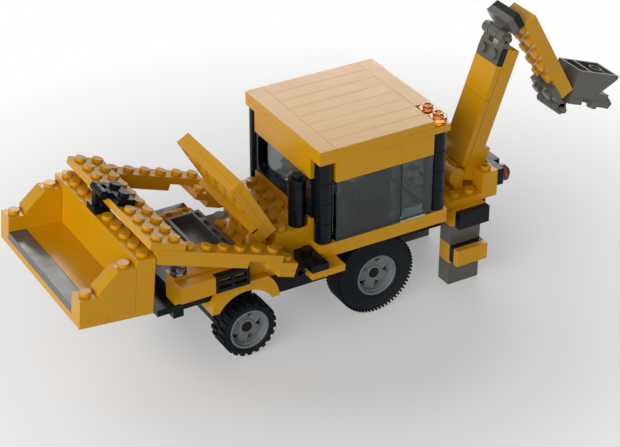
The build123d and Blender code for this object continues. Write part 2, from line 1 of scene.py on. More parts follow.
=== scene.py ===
"""Looks of a brick-built toy backhoe loader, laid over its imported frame.

Every piece is built from bevelled bricks, plates and studs in the toy's own grid:
x in studs behind the cab's front face, y in studs from the middle, z in plates above
the grid's zero, which is found from the roof. Tilted sub-assemblies are drawn in
millimetres in a frame of their own, which hangs on their hinge.
"""
import json
import logging
import math
from dataclasses import dataclass
from enum import Enum
from typing import Iterable, Sequence

import bmesh
import bpy
from bmesh.types import BMEdge, BMFace, BMVert
from bpy.types import Material, Node, NodeTree, Object
from mathutils import Matrix, Vector

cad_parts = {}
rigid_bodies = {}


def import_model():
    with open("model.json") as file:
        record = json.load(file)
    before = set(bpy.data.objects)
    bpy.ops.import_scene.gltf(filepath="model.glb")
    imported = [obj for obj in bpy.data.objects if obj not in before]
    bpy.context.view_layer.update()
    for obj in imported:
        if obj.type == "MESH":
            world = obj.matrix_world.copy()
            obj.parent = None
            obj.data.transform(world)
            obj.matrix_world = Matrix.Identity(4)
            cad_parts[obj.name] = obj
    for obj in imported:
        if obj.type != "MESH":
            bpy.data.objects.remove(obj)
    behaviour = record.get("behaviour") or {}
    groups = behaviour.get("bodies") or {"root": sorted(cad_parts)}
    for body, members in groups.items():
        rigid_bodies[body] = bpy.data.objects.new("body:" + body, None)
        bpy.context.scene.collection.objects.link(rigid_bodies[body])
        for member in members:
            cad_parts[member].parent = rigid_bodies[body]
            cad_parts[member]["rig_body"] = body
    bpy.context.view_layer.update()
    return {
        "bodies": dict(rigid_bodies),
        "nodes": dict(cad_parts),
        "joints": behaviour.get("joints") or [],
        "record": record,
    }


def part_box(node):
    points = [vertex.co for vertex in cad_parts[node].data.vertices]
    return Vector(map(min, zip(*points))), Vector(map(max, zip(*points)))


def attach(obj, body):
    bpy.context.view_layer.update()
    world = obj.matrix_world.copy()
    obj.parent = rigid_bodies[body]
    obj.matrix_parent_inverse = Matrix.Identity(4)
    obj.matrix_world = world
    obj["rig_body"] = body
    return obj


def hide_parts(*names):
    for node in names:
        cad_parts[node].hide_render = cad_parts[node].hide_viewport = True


LOG = logging.getLogger("toy_loader")

MM = 0.001
PITCH = 8.0             # stud spacing
PLATE = 3.2             # height of a plate or tile
STUD_R = 2.4
STUD_H = 1.7
STUD_BORE_R = 1.6       # hole in a hollow stud
STUD_ROOT = 0.3         # how far a stud reaches into its brick
STUD_EDGE = 0.14        # rounding of a stud's rim
STUD_SIDES = 24
TUBE_R, TUBE_BORE_R = 3.25, 2.4     # tubes under a plate
ROUND_R = 3.9           # round one-stud bricks and plates
EDGE = 0.07             # rounding of a moulded brick's edges
SEAM = 0.03             # half the gap drawn between neighbouring bricks
CREASE_DEG = 20.0       # sharper edges than this stay sharp when shaded
ROOF_PLATES = 27        # top of the roof's plate, in plates above the grid's zero

ORIGIN = (0.0, 0.0, 0.0)
AXLE = (0.0, 1.0, 0.0)  # direction of every wheel's axle

Point = Sequence[float]
Colour = tuple[float, float, float]


# ---- finishes
class Family(Enum):
    """Whether light passes a finish."""

    OPAQUE = "opaque"
    CLEAR = "clear"


def add_node(tree: NodeTree, kind: str, values: dict[str, float | Point] | None = None,
             **settings: str | NodeTree) -> Node:
    """Adds a shader node.

    Args:
        tree: the node tree.
        kind: the node's type, without its leading "ShaderNode".
        values: numbers and colours for its sockets, by their names.
        settings: its own settings, such as the operation.

    Returns:
        The node.
    """
    node = tree.nodes.new("ShaderNode" + kind)
    for name, setting in settings.items():
        setattr(node, name, setting)
    for name, value in (values or {}).items():
        node.inputs[name].default_value = value
    return node


def wire(source: Node, output: str, target: Node, socket: str | int) -> None:
    """Links an output of one node to a socket of another."""
    source.id_data.links.new(source.outputs[output], target.inputs[socket])


@dataclass(frozen=True)
class Finish:
    """One finish: its slot in the record, its colour and its surface."""

    slot: str
    colour: Colour
    worn: Colour
    gloss: tuple[float, float] = (0.16, 0.30)   # roughness where smooth and where rough
    ior: float = 1.53
    bump_mm: float = 0.012
    label: str = ""                             # names the material where two share a slot
    specular: float = 0.34
    family: Family = Family.OPAQUE

    @classmethod
    def clear(cls, slot: str, colour: Colour, worn: Colour, gloss: tuple[float, float] = (0.03, 0.08),
              bump_mm: float = 0.004) -> "Finish":
        """Finish of a clear plastic, with the sheen and the index that they share."""
        return cls(slot, colour, worn, gloss, 1.49, bump_mm, family=Family.CLEAR)

    def material(self) -> Material:
        """The Blender material of this finish, made once.

        Returns:
            The material, named after its slot or label.
        """
        name = f"{self.label or self.slot}_look"
        known = bpy.data.materials.get(name)
        if known:
            return known
        made = bpy.data.materials.new(name)
        made.use_nodes = True
        tree = made.node_tree
        shader = tree.nodes["Principled BSDF"]
        skin = add_node(tree, "Group", {
            "Colour": (*self.colour, 1.0), "Worn colour": (*self.worn, 1.0),
            "Smooth": self.gloss[0], "Rough": self.gloss[1]}, node_tree=surface_group())
        wire(skin, "Colour", shader, "Base Color")
        wire(skin, "Roughness", shader, "Roughness")
        bump = add_node(tree, "Bump", {"Strength": 0.5, "Distance": self.bump_mm * MM})
        wire(skin, "Height", bump, "Height")
        wire(bump, "Normal", shader, "Normal")
        shader.inputs["IOR"].default_value = self.ior
        if self.family is Family.CLEAR:
            shader.inputs["Transmission Weight"].default_value = 1.0
        else:
            shader.inputs["Specular IOR Level"].default_value = self.specular
        return made


YELLOW = Finish("yellow_plastic", (0.65, 0.315, 0.003), (0.62, 0.30, 0.0025), (0.19, 0.26), specular=0.24)
BLACK = Finish("black_plastic", (0.0025, 0.005, 0.008), (0.004, 0.0065, 0.0095), specular=0.16)
DARK_GREY = Finish("dark_grey_plastic", (0.112, 0.109, 0.092), (0.102, 0.099, 0.084))
LIGHT_GREY = Finish("light_grey_plastic", (0.42, 0.42, 0.40), (0.38, 0.38, 0.36))
RIM_GREY = Finish("rim_plastic", (0.20, 0.212, 0.22), (0.18, 0.19, 0.20), (0.25, 0.38))
TRAY_GREY = Finish("dark_grey_plastic", (0.105, 0.100, 0.090), (0.090, 0.086, 0.078), (0.42, 0.52),
                   label="matt_grey_plastic")
RUBBER = Finish("tyre_rubber", (0.0035, 0.0065, 0.009), (0.007, 0.011, 0.014), (0.45, 0.62), specular=0.12)
GLASS = Finish.clear("clear_plastic", (0.28, 0.35, 0.37), (0.27, 0.34, 0.36), (0.02, 0.06), 0.002)
ORANGE_CLEAR = Finish.clear("orange_clear_plastic", (0.78, 0.34, 0.09), (0.74, 0.31, 0.08))
RED_CLEAR = Finish.clear("red_clear_plastic", (0.26, 0.004, 0.010), (0.23, 0.004, 0.009))
SMOKE_CLEAR = Finish.clear("smoke_clear_plastic", (0.035, 0.035, 0.033), (0.03, 0.03, 0.028))


def surface_group() -> NodeTree:
    """Shader node group for a moulded surface: faint tone, gloss and texture variation.

    Returns:
        The node group, built on first use.
    """
    known = bpy.data.node_groups.get("Moulded surface")
    if known:
        return known
    tree = bpy.data.node_groups.new("Moulded surface", "ShaderNodeTree")
    face = tree.interface
    for name, kind, value in (("Colour", "NodeSocketColor", (0.5, 0.5, 0.5, 1.0)),
                              ("Worn colour", "NodeSocketColor", (0.4, 0.4, 0.4, 1.0)),
                              ("Smooth", "NodeSocketFloat", 0.2),
                              ("Rough", "NodeSocketFloat", 0.3)):
        face.new_socket(name=name, in_out="INPUT", socket_type=kind).default_value = value
    for name, kind in (("Colour", "NodeSocketColor"), ("Roughness", "NodeSocketFloat"),
                       ("Height", "NodeSocketFloat")):
        face.new_socket(name=name, in_out="OUTPUT", socket_type=kind)
    given, out = tree.nodes.new("NodeGroupInput"), tree.nodes.new("NodeGroupOutput")
    place = add_node(tree, "TexCoord")
    noises = {}
    for name, scale, detail in (("tone", 38.0, 3.0), ("gloss", 160.0, 4.0), ("grain", 1800.0, 2.0)):
        noise = add_node(tree, "TexNoise", {"Scale": scale, "Detail": detail})
        wire(place, "Object", noise, "Vector")
        noises[name] = noise
    tone = add_node(tree, "MapRange", {"From Min": 0.35, "From Max": 0.75})
    wire(noises["tone"], "Fac", tone, "Value")
    mix = add_node(tree, "Mix", data_type="RGBA")
    wire(tone, "Result", mix, "Factor")
    wire(given, "Colour", mix, "A")
    wire(given, "Worn colour", mix, "B")
    wire(mix, "Result", out, "Colour")
    rough = add_node(tree, "MapRange", {"From Min": 0.3, "From Max": 0.7})
    wire(noises["gloss"], "Fac", rough, "Value")
    wire(given, "Smooth", rough, "To Min")
    wire(given, "Rough", rough, "To Max")
    wire(rough, "Result", out, "Roughness")
    wire(noises["grain"], "Fac", out, "Height")
    return tree


# ---- modelling
def put(name: str, data: bpy.types.ID) -> Object:
    """Puts a new object in the scene.

    Args:
        name: its name.
        data: its mesh, lamp or camera.

    Returns:
        The object.
    """
    made = bpy.data.objects.new(name, data)
    bpy.context.scene.collection.objects.link(made)
    return made


def once(items: Iterable) -> list:
    """Each item once, in order; a set of mesh elements would change its order from run to run."""
    return list(dict.fromkeys(items))


class Forge:
    """Builds one piece in millimetres and lays it in the frame in metres."""

    def __init__(self, place: Matrix) -> None:
        """Starts an empty piece; place takes its millimetres to the frame's metres."""
        self.mesh = bmesh.new()
        self.place = place

    def _round(self, edges: Iterable[BMEdge], width: float) -> None:
        """Bevels the given edges."""
        bmesh.ops.bevel(self.mesh, geom=once(edges), offset=width, offset_type="OFFSET", affect="EDGES",
                        segments=2, profile=0.5, material=-1, clamp_overlap=True)

    def _cube(self, lo: Point, hi: Point) -> list[BMVert]:
        """Vertices of a new sharp box between its lowest and highest corner."""
        place = Matrix.LocRotScale((Vector(lo) + Vector(hi)) / 2, None, Vector(hi) - Vector(lo))
        return bmesh.ops.create_cube(self.mesh, size=1.0, matrix=place)["verts"]

    def since(self, before: set[BMVert]) -> list[BMVert]:
        """The vertices drawn since `before`."""
        return [v for v in self.mesh.verts if v not in before]

    def face_out(self, verts: Iterable[BMVert]) -> list[BMFace]:
        """Turns faces outwards.

        Args:
            verts: the vertices that the faces meet.

        Returns:
            The faces.
        """
        faces = once(f for v in verts for f in v.link_faces)
        bmesh.ops.recalc_face_normals(self.mesh, faces=faces)
        return faces

    def extrude(self, faces: list[BMFace], along: float) -> list[BMVert]:
        """Extrudes faces along y.

        Args:
            faces: the faces.
            along: how far.

        Returns:
            The vertices at the far end.
        """
        grown = bmesh.ops.extrude_face_region(self.mesh, geom=faces)["geom"]
        moved = [g for g in grown if isinstance(g, BMVert)]
        bmesh.ops.translate(self.mesh, verts=moved, vec=(0.0, along, 0.0))
        return moved

    def block(self, lo: Point, hi: Point, edge: float = EDGE) -> None:
        """Rounded box between its lowest and highest corner, in millimetres."""
        self._round((e for v in self._cube(lo, hi) for e in v.link_edges), edge)

    def brick(self, x0: float, x1: float, y0: float, y1: float, z0: float, z1: float) -> None:
        """Rounded brick between grid positions: x and y in studs, z in plates."""
        self.block((x0 * PITCH + SEAM, y0 * PITCH + SEAM, z0 * PLATE + SEAM / 2),
                   (x1 * PITCH - SEAM, y1 * PITCH - SEAM, z1 * PLATE - SEAM / 2))

    def prism(self, outline: Sequence[Point], y0: float, y1: float) -> None:
        """Rounded prism along y of an (x, z) outline, in millimetres.

        Args:
            outline: the corners in order.
            y0: near end.
            y1: far end.
        """
        loop = [self.mesh.verts.new((x, y0, z)) for x, z in outline]
        face = self.mesh.faces.new(loop)
        moved = self.extrude([face], y1 - y0)
        self._round((e for f in self.face_out(loop + moved) for e in f.edges), EDGE)

    def rod(self, start: Point, end: Point, radius: float, edge: float = EDGE, steps: int = 28) -> None:
        """Cylinder with rounded rims between two points.

        Args:
            start: middle of the first end.
            end: middle of the other end.
            radius: of the cylinder.
            edge: rounding of the rims, or 0 for none.
            steps: sides.
        """
        a, b = Vector(start), Vector(end)
        turn = (b - a).to_track_quat("Z", "Y").to_matrix().to_4x4()
        made = bmesh.ops.create_cone(
            self.mesh, cap_ends=True, cap_tris=False, segments=steps, radius1=radius, radius2=radius,
            depth=(b - a).length, matrix=Matrix.Translation((a + b) / 2) @ turn)
        if edge > 0:
            caps = once(f for v in made["verts"] for f in v.link_faces if len(f.verts) == steps)
            self._round((e for f in caps for e in f.edges), edge)

    def lathe(self, foot: Point, axis: Point, outline: Sequence[Point], steps: int = 28) -> None:
        """Shape of revolution around an axis that it doesn't touch.

        Args:
            foot: a point on the axis, where heights are 0.
            axis: direction of the axis.
            outline: (radius, height) corners of the closed section.
            steps: sides.
        """
        turn = Vector(axis).to_track_quat("Z", "Y").to_matrix().to_4x4()
        before = set(self.mesh.verts)
        verts = [self.mesh.verts.new((r, 0.0, h)) for r, h in outline]
        edges = [self.mesh.edges.new(pair) for pair in zip(verts, verts[1:] + verts[:1])]
        bmesh.ops.spin(self.mesh, geom=verts + edges, cent=ORIGIN, axis=(0, 0, 1),
                       angle=2 * math.pi, steps=steps, use_merge=True)
        made = self.since(before)
        self.face_out(made)
        bmesh.ops.transform(self.mesh, matrix=Matrix.Translation(foot) @ turn, verts=made)

    def stud(self, x: float, y: float, z: float, sign: float = 1.0) -> None:
        """Stud standing on height z, or hanging from it with sign -1, in millimetres."""
        self.rod((x, y, z - STUD_ROOT * sign), (x, y, z + STUD_H * sign), STUD_R, STUD_EDGE, STUD_SIDES)

    def stud_x(self, x: float, y: float, z: float, sign: float = 1.0) -> None:
        """Stud lying along x, its foot on x, in millimetres."""
        self.rod((x - STUD_ROOT * sign, y, z), (x + STUD_H * sign, y, z), STUD_R, STUD_EDGE, STUD_SIDES)

    def ring_stud(self, x: float, y: float, z: float) -> None:
        """Hollow stud: a tube that stands on height z, in millimetres."""
        bore, edge, rim = STUD_BORE_R, 0.1, 0.12
        self.lathe((x, y, z), (0, 0, 1), (
            (bore, edge), (bore, STUD_H - edge), (bore + edge, STUD_H), (STUD_R - rim, STUD_H),
            (STUD_R, STUD_H - rim), (STUD_R, 0.0)))

    def round_stack(self, x: float, y: float, z: float, heights: Sequence[float]) -> None:
        """Round one-stud bricks on top of each other, each with its narrower foot.

        Args:
            x: middle.
            y: middle.
            z: height of the lowest foot.
            heights: of the bricks, from below.
        """
        foot_r, foot_h, sides = ROUND_R - 0.22, 0.3, 32
        for height in heights:
            self.rod((x, y, z + 0.02), (x, y, z + foot_h), foot_r, 0.08, sides)
            self.rod((x, y, z + foot_h - 0.05), (x, y, z + height - 0.02), ROUND_R, 0.09, sides)
            z += height

    def ring(self, lo: Point, hi: Point, outer: float, bore: float) -> None:
        """Tube between two points.

        Args:
            lo: middle of its foot.
            hi: middle of its other end.
            outer: outer radius.
            bore: inner radius.
        """
        along, edge = Vector(hi) - Vector(lo), 0.08
        height = along.length
        self.lathe(lo, along, (
            (bore, 0.0), (bore, height - edge), (bore + edge, height), (outer - edge, height),
            (outer, height - edge), (outer, edge), (outer - edge, 0.0)))

    def tray(self, lo: Point, hi: Point, wall: float, depth: float) -> None:
        """Rounded box between two corners, hollowed from below.

        Args:
            lo: lowest corner.
            hi: highest corner.
            wall: thickness of its sides.
            depth: of the hollow.
        """
        faces = once(f for v in self._cube(lo, hi) for f in v.link_faces)
        bottom = min(faces, key=lambda face: face.calc_center_median().z)
        faces += bmesh.ops.inset_individual(self.mesh, faces=[bottom], thickness=wall)["faces"]
        inner = bmesh.ops.extrude_discrete_faces(self.mesh, faces=[bottom])["faces"][0]
        bmesh.ops.translate(self.mesh, verts=inner.verts[:], vec=(0.0, 0.0, depth))
        verts = once(v for f in (*faces, inner) if f.is_valid for v in f.verts)
        self._round((e for v in verts for e in v.link_edges), EDGE)

    def around(self, count: int, before: set[BMVert]) -> None:
        """Repeats what was drawn since `before`, evenly around the axle.

        Args:
            count: how many there are in all.
            before: the vertices that were there already.
        """
        fresh = self.since(before)
        edges = once(e for v in fresh for e in v.link_edges)
        faces = once(f for v in fresh for f in v.link_faces)
        bmesh.ops.spin(self.mesh, geom=[*fresh, *edges, *faces], cent=ORIGIN, axis=AXLE, use_duplicate=True,
                       angle=2 * math.pi * (count - 1) / count, steps=count - 1)

    def part_at(self, point: Point, normal: Point) -> None:
        """Parts what was drawn so far along a plane, as two bricks with a hairline between.

        Args:
            point: a point on the plane, in the frame that the mesh is in now.
            normal: of the plane.
        """
        halves = []
        for sign in (-1.0, 1.0):
            half = self.mesh.copy()
            cut = bmesh.ops.bisect_plane(
                half, geom=half.verts[:] + half.edges[:] + half.faces[:], plane_no=normal,
                plane_co=Vector(point) + Vector(normal).normalized() * SEAM * MM * sign,
                clear_inner=sign > 0, clear_outer=sign < 0)["geom_cut"]
            edges = [g for g in cut if isinstance(g, BMEdge)]
            bmesh.ops.edgeloop_fill(half, edges=edges)
            halves.append(half)
        self.mesh.clear()
        for half in halves:
            data = bpy.data.meshes.new("half")
            half.to_mesh(data)
            half.free()
            self.mesh.from_mesh(data)
            bpy.data.meshes.remove(data)
        bmesh.ops.recalc_face_normals(self.mesh, faces=self.mesh.faces[:])

    def studs(self, xs: Iterable[float], ys: Iterable[float], z: float) -> None:
        """A stud at every grid crossing; xs and ys in studs, z in plates."""
        ys = list(ys)
        for x in xs:
            for y in ys:
                self.stud(x * PITCH, y * PITCH, z * PLATE)

    def mirror_y(self) -> None:
        """Adds the mirror image of all so far on the machine's other side."""
        mesh = self.mesh
        doubled = bmesh.ops.duplicate(mesh, geom=mesh.verts[:] + mesh.edges[:] + mesh.faces[:])["geom"]
        verts = [g for g in doubled if isinstance(g, BMVert)]
        faces = [g for g in doubled if isinstance(g, BMFace)]
        bmesh.ops.scale(mesh, vec=(1.0, -1.0, 1.0), verts=verts)
        bmesh.ops.reverse_faces(mesh, faces=faces)

    def finish(self, name: str, body: str, finish: Finish, nodes: Sequence[str] = ()) -> Object:
        """Closes the piece.

        Args:
            name: the piece's name.
            body: the body it rides on.
            finish: its finish.
            nodes: the CAD nodes it stands for.

        Returns:
            The finished object.
        """
        bmesh.ops.transform(self.mesh, matrix=self.place, verts=self.mesh.verts[:])
        for face in self.mesh.faces:
            face.smooth = True
        crease = math.radians(CREASE_DEG)
        for edge in self.mesh.edges:
            edge.smooth = len(edge.link_faces) == 2 and edge.calc_face_angle(0.0) < crease
        data = bpy.data.meshes.new(name)
        self.mesh.to_mesh(data)
        self.mesh.free()
        data.materials.append(finish.material())
        made = put(name, data)
        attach(made, body)
        if nodes:
            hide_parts(*nodes)
        LOG.info("%s: %d faces on %s", name, len(data.polygons), body)
        return made

    def dress(self, body: str, finish: Finish, *nodes: str) -> None:
        """Closes the piece that stands for CAD nodes, and names it after the first."""
        self.finish(nodes[0] + "_dressed", body, finish, nodes)


def soften(node: str, finish: Finish, parted: Sequence[tuple[Vector, Vector]] = ()) -> None:
    """Shows a copy of a CAD node with rounded edges in place of the node.

    Args:
        node: the node's name.
        finish: its finish.
        parted: planes, each a point and a normal in the frame, along which bricks meet.
    """
    source = bpy.data.objects[node]
    forge = Forge(Matrix.Identity(4))
    forge.mesh.from_mesh(source.data)
    bmesh.ops.remove_doubles(forge.mesh, verts=forge.mesh.verts[:], dist=1e-6)
    bmesh.ops.dissolve_limit(forge.mesh, angle_limit=math.radians(0.5), verts=forge.mesh.verts[:],
                             edges=forge.mesh.edges[:])
    for point, normal in parted:
        forge.part_at(point, normal)
    made = forge.finish(node + "_shell", source["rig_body"], finish, [node])
    rounding = made.modifiers.new("Rounded edges", "BEVEL")
    rounding.width = EDGE * MM
    rounding.segments = 2
    rounding.limit_method = "ANGLE"
    rounding.angle_limit = math.radians(CREASE_DEG)
    rounding.use_clamp_overlap = True


# ---- layout
@dataclass
class Layout:
    """Where the toy's grid and its hinges lie in the frame."""

    hinges: dict[str, Vector]
    cab_front: float
    lift: float

    @classmethod
    def read(cls, frame: dict) -> "Layout":
        """Reads the places of the grid and the hinges from the frame.


        Returns:
            The layout.
        """
        hinges = {joint["name"]: Vector(joint["pos_m"]) for joint in frame["joints"]}
        low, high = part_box("cab_roof")
        return cls(hinges, low.x, high.z - ROOF_PLATES * PLATE * MM)

    def grid(self) -> Matrix:
        """Takes grid millimetres to the frame."""
        return Matrix.Translation((self.cab_front, 0.0, self.lift)) @ Matrix.Scale(MM, 4)

    def tilted(self, hinge: str, degrees: float, own: Point) -> Matrix:
        """Takes the millimetres of a tilted piece to the frame.

        Args:
            hinge: name of the joint that the piece hangs on.
            degrees: how far the piece is turned at rest.
            own: the hinge's (x, z) in the piece's own millimetres.

        Returns:
            The matrix.
        """
        pivot = self.hinges[hinge].copy()
        pivot.y = 0.0
        turn = Matrix.Rotation(math.radians(degrees), 4, "Y")
        hung = Matrix.Translation((-own[0], 0.0, -own[1]))
        return Matrix.Translation(pivot) @ turn @ Matrix.Scale(MM, 4) @ hung


# ---- sub-assemblies
@dataclass
class Assembly:
    """A part of the toy that is drawn in its grid or in a tilted frame."""

    layout: Layout

    def on_grid(self) -> Forge:
        """Starts a piece in the toy's grid."""
        return Forge(self.layout.grid())


@dataclass
class FrontBody(Assembly):
    """Bricks in front of the cab."""

    deck_studs: tuple[tuple[float, float], ...] = tuple(
        (x, y) for x in (-1.5, -0.5) for y in (-2.5, -1.5, -0.5, 0.5, 1.5, 2.5) if (x, y) != (-0.5, -2.5))

    def build(self) -> None:
        """Builds side bricks, deck, grey corner plate and exhaust."""
        self._side_bricks()
        self._deck()
        self._exhaust()

    def _side_bricks(self) -> None:
        """Yellow bricks beside the engine, with the smooth outer tiles and the steps."""
        forge = self.on_grid()
        forge.brick(-8, -4, 2, 3, 10, 11)
        forge.brick(-8, -4, 2, 3, 11, 14)
        for x0, x1, y0 in ((-64, -48.05, 24), (-64, -48.05, 27.2), (-47.95, -32.2, 24)):
            forge.block((x0, y0 + 0.05, 36.05), (x1, y0 + PLATE, 43.95))
        for x in (-5.5, -4.5):
            forge.ring_stud(x * PITCH, 20, 14 * PLATE)
        forge.brick(-1, 1, 3, 5, 11, 12)
        forge.mirror_y()
        forge.dress("machine", YELLOW, "side_bricks")

    def _deck(self) -> None:
        """Stepped deck between the hood and the cab."""
        forge = self.on_grid()
        forge.brick(-4, 0, -3, 3, 10, 11)
        forge.brick(-4, -2, -3, 1, 11, 12)
        forge.brick(-4, -2, -3, 1, 12, 14)
        forge.brick(-2, 0, -3, 3, 11, 13)
        forge.brick(-2, 0, -3, 3, 13, 16)
        forge.studs((-3.5,), (-2.5, -1.5, -0.5, 0.5), 14)
        for x, y in self.deck_studs:
            forge.stud(x * PITCH, y * PITCH, 16 * PLATE)
        forge.dress("machine", YELLOW, "front_deck")
        forge = self.on_grid()
        forge.brick(-4, -2, 1, 3, 11, 12)
        forge.studs((-3.5, -2.5), (1.5, 2.5), 12)
        forge.dress("machine", LIGHT_GREY, "corner_plate")

    def _exhaust(self) -> None:
        """Stack of round bricks in front of the cab."""
        forge = self.on_grid()
        base = 16 * PLATE
        forge.round_stack(-4, -20, base, (3 * PLATE, 3 * PLATE, PLATE))
        forge.stud(-4, -20, base + 7 * PLATE)
        forge.dress("machine", BLACK, "exhaust_stack")


@dataclass
class Cab(Assembly):
    """Cab with its sill, posts, roof and beacons."""

    roof_top: float = 28.0
    post_xy: tuple[tuple[float, float], ...] = ((4, -28), (4, 28), (60, -28), (60, 28))

    def build(self) -> None:
        """Builds the whole cab."""
        self._sill()
        self._posts()
        self._roof()
        self._beacons()

    def _sill(self) -> None:
        """Sill plates and the wall under the windscreen."""
        forge = self.on_grid()
        forge.brick(0, 8, -4, 4, 12, 13)
        for y0, y1 in ((-4, -3), (3, 4)):
            forge.brick(0, 6, y0, y1, 13, 14)
            forge.brick(6, 8, y0, y1, 13, 14)
        for x0 in (0, 7):
            forge.brick(x0, x0 + 1, -3, 3, 13, 14)
        forge.brick(0, 1, -3, 3, 14, 17)
        forge.dress("machine", YELLOW, "cab_base")

    def _posts(self) -> None:
        """Corner posts, each of four round bricks."""
        forge = self.on_grid()
        for x, y in self.post_xy:
            forge.round_stack(x, y, 14 * PLATE, (3 * PLATE,) * 4)
        forge.dress("machine", BLACK, "cab_posts")

    def _roof(self) -> None:
        """Roof plate, the bricks that hang under it and the tiles on it."""
        forge = self.on_grid()
        top = self.roof_top
        forge.brick(0, 8, -4, 4, top - 2, top - 1)
        for y0, y1 in ((-4, -3), (3, 4)):
            forge.brick(1, 5, y0, y1, top - 5, top - 2)
            forge.brick(5, 7, y0, y1, top - 5, top - 2)
        for x0 in (0, 7):
            forge.brick(x0, x0 + 1, -3, 3, top - 5, top - 2)
        forge.dress("machine", YELLOW, "cab_roof")
        forge = self.on_grid()
        forge.brick(0, 1, -4, 4, top - 1, top)
        for y0 in range(-4, 4):
            forge.brick(1, 7, y0, y0 + 1, top - 1, top)
        forge.brick(7, 8, -2, 4, top - 1, top)
        forge.dress("machine", YELLOW, "roof_tiles")

    def _beacons(self) -> None:
        """Two clear orange round plates on the roof's corner."""
        forge = self.on_grid()
        x, z = 60, (self.roof_top - 1) * PLATE
        for y in (-28, -20):
            forge.rod((x, y, z + 0.02), (x, y, z + 1.1), 3.1, 0.08, 32)
            forge.rod((x, y, z + 1.05), (x, y, z + PLATE), ROUND_R, 0.18, 32)
            forge.ring_stud(x, y, z + PLATE)
        forge.dress("machine", ORANGE_CLEAR, "beacons")


@dataclass
class Loader(Assembly):
    """Front loader arms and bucket."""

    arm_deg: float = 19.55
    arm_own: tuple[float, float] = (76.0, -8.0)
    bucket_deg: float = 5.06
    bucket_own: tuple[float, float] = (27.2, 35.0)
    half: float = 40.0      # half the width over the arms and over the bucket

    def build(self) -> None:
        """Builds arms and bucket."""
        self._arms()
        self._bucket()

    def _arms(self) -> None:
        """Cross plates and the two side arms."""
        place, half = self.layout.tilted("loader_lift", self.arm_deg, self.arm_own), self.half
        forge = Forge(place)
        side = ((3.25, -0.02), (64, -0.02), (64, -3.2), (48, -3.2), (48, -6.4), (5.4, -6.4))
        forge.prism(side, -half, -32.05)
        forge.block((57.6, -half, -6.4), (72, -24.25, -3.22))
        forge.block((64, -half, -9.6), (72, -24.25, -6.45))
        for x in range(20, 61, 8):
            forge.stud(x, -36, 0)
        for x, y in ((68, -36), (68, -28), (60, -28)):
            forge.stud(x, y, -3.2)
        forge.mirror_y()
        for y0, y1 in ((-half, -8), (-8, half)):
            forge.block((0, y0 + SEAM, 0), (16, y1 - SEAM, PLATE))
        for x in (4, 12):
            for y in range(-36, 37, 8):
                if (x, y) not in ((4, -4), (4, 4)):
                    forge.stud(x, y, PLATE)
        forge.dress("loader_arms", YELLOW, "loader_arms")
        forge = Forge(place)
        pin_x, pin_z = self.arm_own
        low, high = pin_z - 1.5, pin_z + 1.5
        forge.block((72.1, -39, low), (73.4, -25, high))
        for y0, y1 in ((-39, -34.9), (-29.1, -25)):
            forge.block((72.1, y0, low), (pin_x, y1, high))
            forge.rod((pin_x, y0, pin_z), (pin_x, y1, pin_z), 2.0)
        forge.rod((pin_x, -39, pin_z), (pin_x, -25, pin_z), 0.8, 0.05, 16)
        forge.mirror_y()
        forge.dress("loader_arms", BLACK, "arm_hinge_ends")

    def _bucket(self) -> None:
        """Loader bucket: floor, slopes, back wall and its grey cutting edge."""
        place, half = self.layout.tilted("loader_tilt", self.bucket_deg, self.bucket_own), self.half
        forge = Forge(place)
        cheek = ((0, 3.22), (23.9, 3.22), (23.9, 22.4), (16, 22.4), (8, 14.4), (8, 12.8), (0, 12.8))
        for sign in (-1, 1):
            y0, y1 = sorted((sign * half, sign * 32.03))
            forge.prism(cheek, y0, y1)
            forge.stud(4, sign * 36, 12.8)
            forge.stud(20, sign * 36, 22.4)
        forge.block((0, -half, 0), (11.95, half, 3.18))
        forge.block((12.05, -half, 0), (32, half, 3.18))
        forge.block((8.02, -31.97, 3.2), (23.95, 7.95, 6.4))
        forge.block((8.02, 8.05, 3.2), (23.95, 31.97, 6.4))
        forge.block((24.02, -half, 3.22), (32, half, 25.6))
        for y in range(-36, 37, 8):
            if y != 4:
                forge.stud(28, y, 25.6)
        forge.dress("loader_bucket", YELLOW, "bucket_body")
        forge = Forge(place)
        forge.block((0.1, -31.9, 3.22), (7.9, 31.9, 6.4))
        forge.dress("loader_bucket", DARK_GREY, "bucket_lip")


class RearBody(Assembly):
    """Rear deck and stabiliser legs."""

    def build(self) -> None:
        """Builds deck, end bricks and legs."""
        forge = self.on_grid()
        forge.brick(8, 12, -3, 3, 12, 13)
        forge.studs((8.5,), (-2.5, -1.5, -0.5, 0.5, 1.5, 2.5), 13)
        forge.studs((9.5, 10.5), (-2.5, 0.5, 1.5, 2.5), 13)
        forge.studs((9.5,), (-1.5,), 13)
        forge.studs((11.5,), (0.5, 1.5), 13)
        for y0 in (-3, 2):
            forge.brick(11, 12, y0, y0 + 1, 13, 16)
            forge.ring_stud(92, (y0 + 0.5) * PITCH, 16 * PLATE)
        forge.dress("machine", YELLOW, "rear_deck", "end_bricks")
        legs = (  # node, finish, boxes (y0, y1, z0, z1) on the right side
            ("leg_yellow", YELLOW, ((16, 24, 28.8, 38.4), (24, 27.2, 30.4, 38.4),
                                    (16, 24, 9.6, 19.2), (27.2, 30.4, 11.2, 19.2))),
            ("leg_grey", DARK_GREY, ((16, 24, 19.2, 28.8), (16, 24, -1.6, 9.6))),
            ("leg_black", BLACK, ((27.2, 30.4, 30.4, 38.4), (24, 27.2, 11.2, 19.2))),
        )
        gap = 0.02
        for node, finish, boxes in legs:
            forge = self.on_grid()
            for y0, y1, z0, z1 in boxes:
                forge.block((72 + gap, y0 + gap, z0 + gap), (88 - gap, y1 - gap, z1 - gap))
            forge.mirror_y()
            forge.dress("machine", finish, node)


